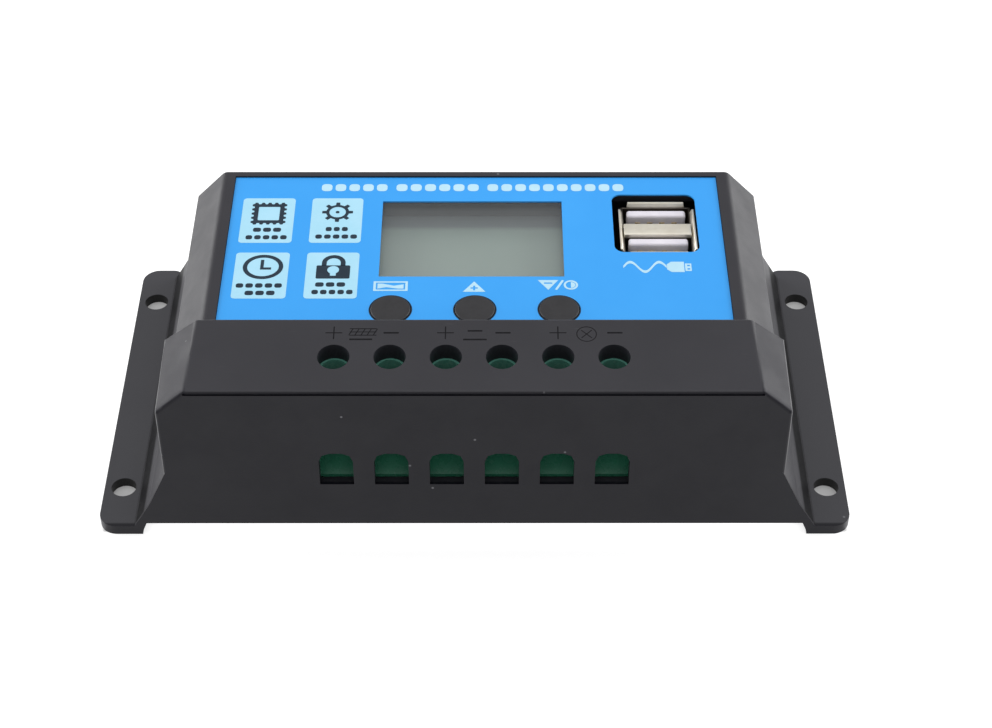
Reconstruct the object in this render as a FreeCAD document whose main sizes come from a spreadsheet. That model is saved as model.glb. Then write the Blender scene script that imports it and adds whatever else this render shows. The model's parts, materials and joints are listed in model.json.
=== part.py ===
import FreeCAD
import Part
import os
import re
import Sketcher

# Solar charge controller with a six-way terminal hood, a display, three buttons and a
# double USB socket. Millimetres. +Z is up, +Y goes to the rear, the terminals face -Y, and
# the origin is the middle of the footprint on the mounting plane.

SIZES = {
    # housing, outside
    "overall_width": 133.5,
    "overall_depth": 70.0,
    "overall_height": 35.8,
    "body_half": 53.8,
    "rear_y": 32.8,
    "body_bottom": 2.75,
    "flange_thick": 2.0,
    "flange_inner": 60.2,
    "foot_inner": 58.9,
    "foot_slant": 0.9,
    "flange_corner": 3.2,
    "fixing_x": 63.3,
    "fixing_y": 25.4,
    "fixing_r": 2.25,
    "flare_top": 14.5,
    "flare_mid_x": 57.0,
    "flare_mid_z": 7.4,
    "wall": 2.0,
    "edge_r": 0.6,
    "soft_edge_r": 1.6,
    "brow_r": 1.3,
    # deck
    "deck_top": 28.95,
    "deck_half": 48.2,
    "deck_side_top": 23.1,
    "label_top": 28.65,
    "label_thick": 0.3,
    "label_half": 45.85,
    "label_rear": 31.0,
    "label_gap": 0.1,
    # hood
    "ridge_y": -17.6,
    "hood_half": 47.8,
    "hood_front_half": 48.7,
    "hood_side_top": 31.1,
    "hood_slope": 0.1,
    "front_draft": 0.5,
    "groove_drop": 0.2,
    "groove_high": 0.45,
    "groove_deep": 0.25,
    # openings of the deck
    "lcd_x": -0.65,
    "lcd_y": 12.77,
    "lcd_wide": 33.7,
    "lcd_deep": 21.9,
    "usb_x": 33.5,
    "usb_y": 17.25,
    "usb_wide": 15.7,
    "usb_deep": 17.0,
    "usb_corner": 1.8,
    "button_pitch": 15.04,
    "button_y": -7.25,
    "button_hole_r": 3.75,
    "cap_r": 3.58,
    "cap_top": 28.9,
    "cap_flange_r": 4.6,
    "cap_collar_low": 24.6,
    "cap_collar_top": 25.7,
    "cap_low": 20.5,
    "stem_r": 2.6,
    "stem_bore_r": 1.75,
    "stem_bore_top": 24.4,
    "plunger_r": 1.7,
    "plunger_gap": 0.02,
    "plunger_foot_r": 2.2,
    "plunger_low": 11.4,
    "plunger_foot_top": 12.4,
    "switch_wide": 6.0,
    "switch_top": 14.0,
    "switch_room_r": 2.3,
    "switch_guide_r": 1.76,
    # terminals
    "ways": 6,
    "pitch": 9.53,
    "screw_y": -26.5,
    "access_r": 2.75,
    "entry_wide": 5.9,
    "entry_low": 12.5,
    "entry_high": 19.9,
    "entry_round": 1.9,
    "lip_y": -29.3,
    "lip_top": 14.4,
    "block_half": 29.1,
    "block_front": -32.8,
    "block_rear": -19.85,
    "block_top": 32.0,
    "bore_r": 2.4,
    "head_r": 2.25,
    "head_low": 26.0,
    "head_high": 27.6,
    "shank_r": 1.75,
    "running_gap": 0.05,
    "clamp_wide": 6.4,
    "clamp_deep": 5.0,
    "clamp_low": 10.8,
    "clamp_floor": 0.9,
    "clamp_cheek": 0.8,
    "clamp_high": 20.9,
    "clamp_roof": 1.2,
    "clamp_travel": 4.2,
    "slot_gap": 0.1,
    "bar_top": 19.6,
    "bar_thick": 1.0,
    "bar_wide": 4.2,
    "bar_rear": -21.6,
    "tail_wide": 1.6,
    "tail_low": 7.4,
    # board and base
    "board_top": 10.4,
    "board_thick": 1.6,
    "board_half": 49.1,
    "board_front": -31.4,
    "board_rear": 28.4,
    "boss_x": 46.4,
    "boss_front": -29.0,
    "boss_rear": 26.0,
    "boss_r": 3.0,
    "boss_notch_r": 3.8,
    "boss_pilot_r": 1.25,
    "boss_pilot_deep": 12.0,
    "post_x": 44.5,
    "post_y": 14.0,
    "post_r": 2.5,
    "post_pilot_r": 1.1,
    "post_pilot_deep": 8.0,
    "post_hole_r": 1.3,
    "base_half": 55.0,
    "base_front": -32.7,
    "base_rear": 29.2,
    "base_low": 2.75,
    "base_thick": 1.5,
    "base_hole_r": 1.7,
    "case_head_r": 2.6,
    "case_head_high": 1.5,
    "case_shank_r": 1.2,
    "case_shank_long": 11.0,
    "board_head_r": 2.2,
    "board_head_high": 1.4,
    "board_shank_r": 1.05,
    "board_shank_long": 6.0,
    "cross_long": 2.4,
    "cross_wide": 0.6,
    "vent_wide": 2.0,
    "vent_long": 20.0,
    "vent_pitch": 6.0,
    # display
    "glass_top": 24.2,
    "glass_thick": 2.2,
    "frame_thick": 3.0,
    "frame_wide": 41.0,
    "frame_deep": 26.0,
    "leg_r": 1.2,
    "pin_pitch": 1.8,
    "pin_wide": 0.5,
    # socket
    "socket_x": 34.0,
    "socket_top": 27.7,
    "socket_wide": 13.2,
    "socket_deep": 14.2,
    "socket_lift": 1.0,
    "lip_high": 0.9,
    "lip_flare_x": 1.2,
    "lip_flare_y": 1.0,
    "sheet": 0.4,
    "port_deep": 5.2,
    "port_pitch": 8.3,
    "port_floor": 4.0,
    "tongue_shift": 0.55,
    "contact_pitch": 2.3,
    "contact_wide": 1.0,
    "contact_thick": 0.2,
    "tongue_wide": 11.1,
    "tongue_thick": 1.9,
    # parts on the board
    "mosfet_wide": 6.6,
    "mosfet_deep": 5.6,
    "mosfet_high": 2.3,
    "tab_high": 0.6,
    "inductor_r": 5.0,
    "inductor_high": 6.0,
    "inductor_foot": 10.4,
    "crystal_long": 6.0,
    "crystal_wide": 4.6,
    "crystal_high": 3.4,
    "bead_r": 1.4,
    "bead_lift": 3.6,
    "chip_long": 2.0,
    "chip_wide": 1.25,
    "chip_high": 0.5,
}

# middles of the parts on the board, and the rows and columns they repeat in
MOSFET_X = (-24, -8, 8, 24)
MOSFET_Y = -15.0
CANS = ((-37, 4, 5.0, 14.0), (-32, 20, 4.0, 11.5), (26, -3, 4.0, 11.5))  # x, y, radius, height
CHIPS = (  # name, x, y, width, depth, height, leads a side, lead width
    ("blocking_diode", -36, -14, 7.0, 5.8, 2.4, 1, 2.2),
    ("buck_regulator", 36, -14.5, 4.9, 3.9, 1.6, 4, 0.45),
    ("microcontroller", -6, 8, 7.0, 7.0, 1.5, 7, 0.35),
    ("display_driver", 4, 20, 17.8, 7.4, 2.3, 12, 0.4),
)
INDUCTOR_PLACE = (36, -2)
CRYSTAL_PLACE = (-16, 16)
BEAD_PLACE = (44, 0)
RESISTOR_X = (-27, -24, 9, 12, 15)
RESISTOR_Y = (-3, 1, 5)
VENT_ROWS = ("-15", "12")
VENTS_A_ROW = 14
PINS = 20
CONTACTS = 4

doc = FreeCAD.newDocument("charge_controller")
sheet = doc.addObject("Spreadsheet::Sheet", "dims")
for row, (alias, number) in enumerate(SIZES.items(), start=1):
    sheet.set(f"A{row}", alias)
    sheet.set(f"B{row}", str(number))
    sheet.setAlias(f"B{row}", alias)
doc.recompute()

nodes = {}


def expand(formula):
    """A formula of plain size names becomes an expression on the sheet."""
    pattern = r"[a-z][a-z_0-9]*"
    return re.sub(pattern, lambda m: "dims." + m[0] if m[0] in SIZES else m[0], str(formula))


def value(formula):
    return float(sheet.evalExpression(expand(formula)))


def bind(thing, prop, formula):
    thing.setExpression(prop, expand(formula))


def place(thing, x, y, z):
    for axis, formula in zip("xyz", (x, y, z)):
        bind(thing, f"Placement.Base.{axis}", formula)


def keep(name, thing):
    """Register a finished sub-part under its node name."""
    thing.Label = name
    nodes[name] = thing
    return thing


# ---------------------------------------------------------------- Part primitives

def box(x0, x1, y0, y1, z0, z1, name="box"):
    thing = doc.addObject("Part::Box", name)
    bind(thing, "Length", f"({x1}) - ({x0})")
    bind(thing, "Width", f"({y1}) - ({y0})")
    bind(thing, "Height", f"({z1}) - ({z0})")
    place(thing, x0, y0, z0)
    return thing


def block(x, y, wide, deep, z0, z1, name="block"):
    """A box given by the middle of its plan."""
    half_x, half_y = f"({wide}) / 2", f"({deep}) / 2"
    return box(f"{x} - {half_x}", f"{x} + {half_x}", f"{y} - {half_y}", f"{y} + {half_y}", z0, z1, name)


def rod(x, y, radius, z0, z1, name="rod"):
    thing = doc.addObject("Part::Cylinder", name)
    bind(thing, "Radius", radius)
    bind(thing, "Height", f"({z1}) - ({z0})")
    place(thing, x, y, z0)
    return thing


def fuse(things, name="fused"):
    thing = doc.addObject("Part::MultiFuse", name)
    thing.Shapes = things
    thing.Refine = True
    return thing


def group(things, name="group"):
    """Separate solids that share one node."""
    thing = doc.addObject("Part::Compound", name)
    thing.Links = things
    return thing


def cut(base, tools, name="cut"):
    tool = tools[0] if len(tools) == 1 else fuse(tools, name + "_tools")
    thing = doc.addObject("Part::Cut", name)
    thing.Base = base
    thing.Tool = tool
    thing.Refine = True
    return thing


# ---------------------------------------------------------------- PartDesign helpers

def new_body(name):
    body = doc.addObject("PartDesign::Body", name)
    return keep(name, body)


def new_sketch(body, name, role, offset="0"):
    """A sketch on one of the body's origin planes, moved along the plane's normal."""
    plane = next(f for f in body.Origin.OriginFeatures if f.Role == role)
    sketch = body.newObject("Sketcher::SketchObject", name)
    sketch.AttachmentSupport = (plane, [""])
    sketch.MapMode = "FlatFace"
    bind(sketch, "AttachmentOffset.Base.z", offset)
    return sketch


def pin_point(sketch, geometry, point, u, v):
    """Fix one point of the sketch to two formulas."""
    for kind, formula in (("DistanceX", u), ("DistanceY", v)):
        index = sketch.addConstraint(
            Sketcher.Constraint(kind, -1, 1, geometry, point, value(formula)))
        sketch.setExpression(f"Constraints[{index}]", expand(formula))


def polygon(sketch, points):
    first = sketch.GeometryCount
    count = len(points)
    vectors = [FreeCAD.Vector(value(u), value(v), 0) for u, v in points]
    for i in range(count):
        sketch.addGeometry(Part.LineSegment(vectors[i], vectors[(i + 1) % count]), False)
    for i in range(count):
        sketch.addConstraint(
            Sketcher.Constraint("Coincident", first + i, 2, first + (i + 1) % count, 1))
    for i, (u, v) in enumerate(points):
        pin_point(sketch, first + i, 1, u, v)


def rectangle(sketch, u, v, wide, high):
    low_u, high_u = f"{u} - ({wide}) / 2", f"{u} + ({wide}) / 2"
    low_v, high_v = f"{v} - ({high}) / 2", f"{v} + ({high}) / 2"
    polygon(sketch, [(low_u, low_v), (high_u, low_v), (high_u, high_v), (low_u, high_v)])


def circle(sketch, u, v, radius):
    centre = FreeCAD.Vector(value(u), value(v), 0)
    index = sketch.addGeometry(
        Part.Circle(centre, FreeCAD.Vector(0, 0, 1), value(radius)), False)
    pin_point(sketch, index, 3, u, v)
    radius_index = sketch.addConstraint(Sketcher.Constraint("Radius", index, value(radius)))
    sketch.setExpression(f"Constraints[{radius_index}]", expand(radius))


def mirrored(points):
    """The right half of a symmetric outline, bottom to top, and its mirror image."""
    left = [(f"-({u})", v) for u, v in reversed(points)]
    return points + left


def pad(body, sketch, length, name):
    feature = body.newObject("PartDesign::Pad", name)
    feature.Profile = sketch
    bind(feature, "Length", length)
    body.Tip = feature
    doc.recompute()
    return feature


def pocket(body, sketch, length, name):
    """Cut against the sketch's normal, and make sure that it removed something."""
    before = body.Shape.Volume
    feature = body.newObject("PartDesign::Pocket", name)
    feature.Profile = sketch
    bind(feature, "Length", length)
    body.Tip = feature
    doc.recompute()
    assert body.Shape.Volume < before - 1e-3, f"{name} cut nothing"
    return feature


def row_of(body, original, count, length, name, plane_role="X_Axis"):
    axis = next(f for f in body.Origin.OriginFeatures if f.Role == plane_role)
    pattern = body.newObject("PartDesign::LinearPattern", name)
    pattern.Originals = [original]
    pattern.Direction = (axis, [""])
    bind(pattern, "Length", length)
    pattern.Occurrences = count
    body.Tip = pattern
    doc.recompute()
    return pattern


def is_sharp(shape, edge, middle):
    """Whether the two faces beside an edge meet at an angle there."""
    faces = shape.ancestorsOfType(edge, Part.Face)
    normals = [face.normalAt(*face.Surface.parameter(middle)) for face in faces]
    return len(normals) == 2 and abs(normals[0].dot(normals[1])) < 0.98


def fillet(body, radius, chosen, name):
    """Round the sharp edges whose two end points and middle satisfy the given test."""
    shape = body.Shape
    edges = []
    for index, edge in enumerate(shape.Edges, start=1):
        middle = edge.valueAt((edge.FirstParameter + edge.LastParameter) / 2)
        ends = [vertex.Point for vertex in edge.Vertexes]
        if chosen(middle, ends, edge) and is_sharp(shape, edge, middle):
            edges.append(f"Edge{index}")
    rounded = body.Tip
    feature = body.newObject("PartDesign::Fillet", name)
    feature.Base = (rounded, edges)
    bind(feature, "Radius", radius)
    body.Tip = feature
    doc.recompute()
    return feature


# ---------------------------------------------------------------- housing

def way_x(way):
    """Middle of one terminal way, counted from the left."""
    return f"({way} - (ways - 1) / 2) * pitch"


def make_housing():
    body = new_body("top_housing")

    # deck part of the body: one outline carried from the rear wall to the front face
    deck = new_sketch(body, "deck_outline", "XZ_Plane", "-rear_y")
    polygon(deck, mirrored([
        ("foot_inner - foot_slant", "body_bottom"),
        ("foot_inner + 0.1", "0.3"),
        ("flange_inner", "0.3"),
        ("flange_inner", "flange_thick"),
        ("flare_mid_x", "flare_mid_z"),
        ("body_half", "flare_top"),
        ("body_half", "deck_side_top"),
        ("deck_half", "deck_top"),
    ]))
    pad(body, deck, "rear_y + overall_depth / 2", "deck_pad")

    # hood over the terminals: it drops a little towards the front and its top widens
    drop = "hood_slope * (overall_depth / 2 + ridge_y)"
    profiles = []
    for name, offset, half, fall in (("ridge_outline", "-ridge_y", "hood_half", "0"),
                                     ("brow_outline", "overall_depth / 2", "hood_front_half", drop)):
        profile = new_sketch(body, name, "XZ_Plane", offset)
        polygon(profile, mirrored([("body_half", f"flare_top + 2 - {fall}"),
                                   ("body_half", f"hood_side_top - {fall}"),
                                   (half, f"overall_height - {fall}")]))
        profiles.append(profile)
    hood = body.newObject("PartDesign::AdditiveLoft", "hood_loft")
    hood.Profile = profiles[0]
    hood.Sections = [profiles[1]]
    hood.Ruled = True
    body.Tip = hood
    doc.recompute()

    # the front face leans back a little towards the top
    lean = new_sketch(body, "front_lean", "YZ_Plane", "overall_width / 2")
    polygon(lean, [("-overall_depth / 2 - 1", "flange_thick"),
                   ("-overall_depth / 2", "flange_thick"),
                   ("-overall_depth / 2 + front_draft", "overall_height + 1"),
                   ("-overall_depth / 2 - 1", "overall_height + 1")])
    pocket(body, lean, "overall_width", "front_lean_cut")

    outer_edges(body)

    # shadow groove across the front, just under the hood's brow
    groove = new_sketch(body, "brow_groove", "XZ_Plane", "overall_depth / 2")
    rectangle(groove, "0", f"overall_height - {drop} - groove_drop - groove_high / 2",
              "2 * hood_front_half", "groove_high")
    pocket(body, groove, "front_draft + groove_deep", "brow_groove_cut")

    # mounting flanges, one sketch each side
    for side, sign in (("left", "-1"), ("right", "1")):
        flange = new_sketch(body, f"flange_{side}", "XY_Plane")
        inner, outer = f"{sign} * foot_inner", f"{sign} * overall_width / 2"
        polygon(flange, [(inner, "-overall_depth / 2"), (outer, "-overall_depth / 2"),
                         (outer, "overall_depth / 2"), (inner, "overall_depth / 2")])
        circle(flange, f"{sign} * fixing_x", "-fixing_y", "fixing_r")
        circle(flange, f"{sign} * fixing_x", "fixing_y", "fixing_r")
        pad(body, flange, "flange_thick", f"flange_{side}_pad")
    half_width = value("overall_width / 2")
    half_depth = value("overall_depth / 2")

    def is_corner(middle, ends, edge):
        upright = abs(ends[0].z - ends[-1].z) > 1.5
        corner = abs(abs(middle.x) - half_width) < 0.01 and abs(abs(middle.y) - half_depth) < 0.01
        return upright and corner

    fillet(body, "flange_corner", is_corner, "flange_corners")

    def is_rear_inner(middle, ends, edge):
        upright = abs(ends[0].z - ends[-1].z) > 1.5 and edge.Length < 2.5
        at_rear = abs(middle.y - half_depth) < 0.01
        return upright and at_rear and abs(abs(middle.x) - value("foot_inner")) < 0.01

    fillet(body, "overall_depth / 2 - rear_y - 0.2", is_rear_inner, "flange_rear_corners")

    # inside: the same outline one wall further in, and the space under the hood
    hollow = new_sketch(body, "hollow_outline", "XZ_Plane", "overall_depth / 2 - wall")
    polygon(hollow, mirrored([
        ("foot_inner - foot_slant - 1.4", "body_bottom - 0.5"),
        ("foot_inner - foot_slant - 1.6", "body_bottom + 0.5"),
        ("flare_mid_x - wall", "flare_mid_z"),
        ("body_half - wall", "flare_top"),
        ("body_half - wall", "deck_side_top - wall / 2"),
        ("deck_half - wall / 2", "deck_top - wall"),
    ]))
    pocket(body, hollow, "rear_y + overall_depth / 2 - 2 * wall", "hollow")
    ridge = new_sketch(body, "hollow_ridge", "XZ_Plane", "overall_depth / 2 - wall")
    polygon(ridge, mirrored([("body_half - wall", "flare_top + 2"),
                             ("body_half - wall", f"hood_side_top - wall / 2 - {drop}"),
                             ("hood_half - wall / 2", f"overall_height - wall - {drop}")]))
    pocket(body, ridge, "overall_depth / 2 + ridge_y - 2 * wall", "hood_space")

    # bosses for the base's screws, and posts for the board's
    seat = "base_low + base_thick"
    uprights = (("rear_bosses", "boss_x", ("boss_rear",), "boss_r", seat, "deck_top - wall"),
                ("front_bosses", "boss_x", ("boss_front",), "boss_r", seat, "block_top + 0.3"),
                ("posts", "post_x", ("-post_y", "post_y"), "post_r", "board_top", "deck_top - wall"))
    for name, x, rows, radius, low, high in uprights:
        plan = new_sketch(body, name + "_plan", "XY_Plane", low)
        for sign in ("-1", "1"):
            for y in rows:
                circle(plan, f"{sign} * {x}", y, radius)
        pad(body, plan, f"{high} + 0.3 - ({low})", name)
    pilots = (("boss_pilots", "boss_x", ("boss_front", "boss_rear"), "boss_pilot_r", seat,
               "boss_pilot_deep"),
              ("post_pilots", "post_x", ("-post_y", "post_y"), "post_pilot_r", "board_top",
               "post_pilot_deep"))
    for name, x, rows, radius, low, depth in pilots:
        sketch = new_sketch(body, name, "XY_Plane", f"{low} + {depth}")
        for sign in ("-1", "1"):
            for y in rows:
                circle(sketch, f"{sign} * {x}", y, radius)
        pocket(body, sketch, depth, name + "_cut")

    # seat of the label, and the openings of the deck
    recess = new_sketch(body, "label_seat", "XY_Plane", "deck_top")
    polygon(recess, [("-label_half - label_gap", "ridge_y"),
                   ("label_half + label_gap", "ridge_y"),
                   ("label_half + label_gap", "label_rear + label_gap"),
                   ("-label_half - label_gap", "label_rear + label_gap")])
    pocket(body, recess, "deck_top - label_top + label_thick", "label_seat_cut")
    openings = new_sketch(body, "deck_openings", "XY_Plane", "deck_top")
    rectangle(openings, "lcd_x", "lcd_y", "lcd_wide + 1.6", "lcd_deep + 1.6")
    rectangle(openings, "usb_x", "usb_y", "usb_wide + 0.2", "usb_deep + 0.2")
    for number in (-1, 0, 1):
        circle(openings, f"{number} * button_pitch", "button_y", "button_hole_r")
    pocket(body, openings, "wall + 1", "deck_openings_cut")

    # screwdriver holes in the hood's top, and wire entries in its front
    access = new_sketch(body, "access_hole", "XY_Plane", "overall_height")
    circle(access, way_x(0), "screw_y", "access_r")
    hole = pocket(body, access, "overall_height - block_top", "access_hole_cut")
    row_of(body, hole, 6, "(ways - 1) * pitch", "access_holes")
    entry = new_sketch(body, "wire_entry", "XZ_Plane", "overall_depth / 2")
    left, right = f"{way_x(0)} - entry_wide / 2", f"{way_x(0)} + entry_wide / 2"
    polygon(entry, [(left, "entry_low"), (right, "entry_low"),
                    (right, "entry_high - entry_round"),
                    (f"{right} - entry_round * 0.29", "entry_high - entry_round * 0.29"),
                    (f"{right} - entry_round", "entry_high"),
                    (f"{left} + entry_round", "entry_high"),
                    (f"{left} + entry_round * 0.29", "entry_high - entry_round * 0.29"),
                    (left, "entry_high - entry_round")])
    hole = pocket(body, entry, "wall + 0.5", "wire_entry_cut")
    row_of(body, hole, 6, "(ways - 1) * pitch", "wire_entries")
    return body


def outer_edges(body):
    """Round the moulded edges of the deck and the hood, the long ones beside the label most."""
    ridge = value("ridge_y")
    low = value("flare_top")

    def is_deck_side(middle, ends, edge):
        along = abs(ends[0].y - ends[-1].y) > 20
        return along and abs(middle.z - value("deck_top")) < 0.02

    def is_brow(middle, ends, edge):
        """The two folds where a chamfer of the hood meets its top."""
        along = abs(ends[0].y - ends[-1].y) > 15
        return along and middle.z > value("hood_side_top") + 2

    def is_outer(middle, ends, edge):
        lowest = min(point.z for point in ends)
        at_ridge = all(abs(point.y - ridge) < 0.02 for point in ends)
        foot_of_ridge = at_ridge and lowest < value("deck_top") + 0.02
        flare_line = abs(middle.z - low) < 0.02
        along = abs(ends[0].y - ends[-1].y) > 20
        deck_side = along and value("deck_side_top") + 0.5 < middle.z < value("deck_top") + 0.02
        return lowest > low - 0.02 and not foot_of_ridge and not flare_line and not deck_side

    fillet(body, "soft_edge_r", is_deck_side, "deck_sides")
    fillet(body, "brow_r", is_brow, "brow_folds")
    fillet(body, "edge_r", is_outer, "outer_edges")


# ---------------------------------------------------------------- deck pieces

def make_label():
    """Printed film in the seat of the deck, with its cut-outs."""
    body = new_body("front_label")
    outline = new_sketch(body, "label_outline", "XY_Plane", "label_top - label_thick")
    polygon(outline, [("-label_half", "ridge_y + label_gap"), ("label_half", "ridge_y + label_gap"),
                      ("label_half", "label_rear"), ("-label_half", "label_rear")])
    rectangle(outline, "lcd_x", "lcd_y", "lcd_wide", "lcd_deep")
    for number in (-1, 0, 1):
        circle(outline, f"{number} * button_pitch", "button_y", "button_hole_r")
    pad(body, outline, "label_thick", "label_film")
    socket = new_sketch(body, "socket_outline", "XY_Plane", "label_top")
    rectangle(socket, "usb_x", "usb_y", "usb_wide", "usb_deep")
    pocket(body, socket, "label_thick", "socket_cut")
    corners = [(value("usb_x") + i * value("usb_wide") / 2, value("usb_y") + j * value("usb_deep") / 2)
               for i in (-1, 1) for j in (-1, 1)]

    def is_socket_corner(middle, ends, edge):
        near = min(abs(middle.x - x) + abs(middle.y - y) for x, y in corners)
        return near < 0.01 and edge.Length < value("label_thick") + 0.01

    fillet(body, "usb_corner", is_socket_corner, "socket_corners")


def make_window():
    """Clear pane that fills the display opening from under the label down."""
    high = "label_top - label_thick"
    pane = block("lcd_x", "lcd_y", "lcd_wide + 1.4", "lcd_deep + 1.4", f"{high} - 1.2", high)
    keep("display_window", pane)


def make_buttons():
    """Three caps with a retaining collar, each on the plunger of its own switch."""
    for number in (1, 2, 3):
        x, y = f"{number - 2} * button_pitch", "button_y"
        top = rod(x, y, "cap_r", "cap_collar_top - 0.1", "cap_top")
        collar = rod(x, y, "cap_flange_r", "cap_collar_low", "cap_collar_top")
        stem = rod(x, y, "stem_r", "cap_low", "cap_collar_low + 0.2")
        socket = rod(x, y, "stem_bore_r", "cap_low", "stem_bore_top")
        keep(f"button_cap_{number}", cut(fuse([top, collar, stem]), [socket], "button_cap"))
        shaft = rod(x, y, "plunger_r", "plunger_foot_top - 0.1", "stem_bore_top - plunger_gap")
        foot = rod(x, y, "plunger_foot_r", "plunger_low", "plunger_foot_top")
        keep(f"switch_plunger_{number}", fuse([shaft, foot], "switch_plunger"))
        base = block(x, y, "switch_wide", "switch_wide", "board_top", "switch_top")
        room = rod(x, y, "switch_room_r", "board_top + 0.6", "plunger_foot_top + 0.2")
        guide = rod(x, y, "switch_guide_r", "plunger_foot_top + 0.1", "switch_top")
        keep(f"switch_base_{number}", cut(base, [room, guide], "switch_base"))


def make_display():
    """Glass cell on its frame, which stands on four legs, and the row of pins behind it."""
    frame_top = "glass_top - glass_thick"
    glass = block("lcd_x", "lcd_y", "frame_wide - 2", "frame_deep - 2", frame_top, "glass_top")
    keep("lcd_glass", glass)
    low = f"{frame_top} - frame_thick"
    frame = block("lcd_x", "lcd_y", "frame_wide", "frame_deep", low, frame_top)
    legs = [rod(f"lcd_x + {i} * (frame_wide / 2 - 2)", f"lcd_y + {j} * (frame_deep / 2 - 2)", "leg_r",
                "board_top", f"{low} + 0.5") for i in (-1, 1) for j in (-1, 1)]
    keep("lcd_frame", fuse([frame] + legs, "lcd_frame"))
    pins = [block(f"lcd_x + {i - (PINS - 1) / 2} * pin_pitch", "lcd_y + frame_deep / 2 + 0.6",
                  "pin_wide", "pin_wide", "board_top", f"{frame_top} + 0.6") for i in range(PINS)]
    keep("lcd_pins", group(pins, "lcd_pins"))


def make_socket():
    """Two USB receptacles, one in front of the other, with their mouths up."""
    x, y = "socket_x", "usb_y"
    low = "board_top + socket_lift"
    outer = block(x, y, "socket_wide", "socket_deep", low, "socket_top - lip_high + 0.1")
    lips = block(x, y, "socket_wide + lip_flare_x", "socket_deep + lip_flare_y",
                 "socket_top - lip_high", "socket_top")
    ports = [block(x, f"usb_y + {i} * port_pitch / 2", "socket_wide - 2 * sheet", "port_deep",
                   f"{low} + sheet", "socket_top") for i in (-1, 1)]
    keep("usb_shell", cut(fuse([outer, lips]), ports, "usb_shell"))
    cores = []
    contacts = []
    for i in (-1, 1):
        mid = f"usb_y + {i} * port_pitch / 2"
        floor_top = f"{low} + sheet + port_floor"
        floor = block(x, mid, "socket_wide - 2 * sheet - 0.2", "port_deep - 0.2",
                      f"{low} + sheet", floor_top)
        tongue = block(x, f"{mid} + tongue_shift", "tongue_wide", "tongue_thick",
                       f"{floor_top} - 0.1", "socket_top - 0.5")
        cores.append(fuse([floor, tongue], "usb_core"))
        face = f"{mid} + tongue_shift - tongue_thick / 2"
        for k in range(CONTACTS):
            along = f"socket_x + {k - (CONTACTS - 1) / 2} * contact_pitch"
            contacts.append(block(along, f"{face} - contact_thick / 2", "contact_wide",
                                  "contact_thick", floor_top, "socket_top - 2.0"))
    keep("usb_insulator", group(cores, "usb_insulator"))
    keep("usb_contacts", group(contacts, "usb_contacts"))


# ---------------------------------------------------------------- terminals

def make_terminal_block():
    """Six-way rising-clamp block: funnels in front, screw bores on top, slots for the clamps."""
    body = new_body("terminal_block")
    plan = new_sketch(body, "block_plan", "XY_Plane", "board_top")
    polygon(plan, [("-block_half", "block_front"), ("block_half", "block_front"),
                   ("block_half", "block_rear"), ("-block_half", "block_rear")])
    pad(body, plan, "block_top - board_top", "block_pad")
    step = new_sketch(body, "block_step", "YZ_Plane", "block_half")
    polygon(step, [("block_rear", "block_top - 6"), ("block_rear + 1", "block_top - 6"),
                   ("block_rear + 1", "block_top + 1"), ("block_rear - 1.4", "block_top + 1"),
                   ("block_rear - 1.4", "block_top - 6")])
    pocket(body, step, "2 * block_half", "block_step_cut")
    x = way_x(0)
    roof = "clamp_high + clamp_travel + 0.3"
    cuts = []
    bore = new_sketch(body, "screw_bore", "XY_Plane", "block_top")
    circle(bore, x, "screw_y", "bore_r")
    cuts.append((bore, "block_top - head_low + 0.05"))
    neck = new_sketch(body, "screw_neck", "XY_Plane", "block_top - 1")
    circle(neck, x, "screw_y", "shank_r + 2 * running_gap")
    cuts.append((neck, f"block_top - 1 - ({roof}) + 0.1"))
    funnel = new_sketch(body, "wire_funnel", "YZ_Plane", f"{x} + entry_wide / 2 + 0.05")
    polygon(funnel, [("block_front - 1", "entry_low - 0.05"),
                     ("block_front + 0.5", "entry_low - 0.05"),
                     ("lip_y", "lip_top"),
                     ("screw_y", "lip_top"),
                     ("screw_y", "entry_high + 0.05"),
                     ("block_front - 1", "entry_high + 0.05")])
    cuts.append((funnel, "entry_wide + 0.1"))
    slot = new_sketch(body, "clamp_slot", "XY_Plane", roof)
    rectangle(slot, x, "screw_y", "clamp_wide + 2 * slot_gap", "clamp_deep + 2 * slot_gap")
    cuts.append((slot, f"{roof} - board_top + 0.1"))
    back = new_sketch(body, "bar_slot", "XY_Plane", "bar_top + 0.1")
    rectangle(back, x, "(bar_rear + screw_y) / 2 + 0.1", "bar_wide + 0.2", "bar_rear - screw_y + 0.2")
    cuts.append((back, "bar_top - board_top + 0.2"))
    for sketch, depth in cuts:
        one = pocket(body, sketch, depth, sketch.Name + "_cut")
        row_of(body, one, 6, "(ways - 1) * pitch", sketch.Name + "_row")


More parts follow.
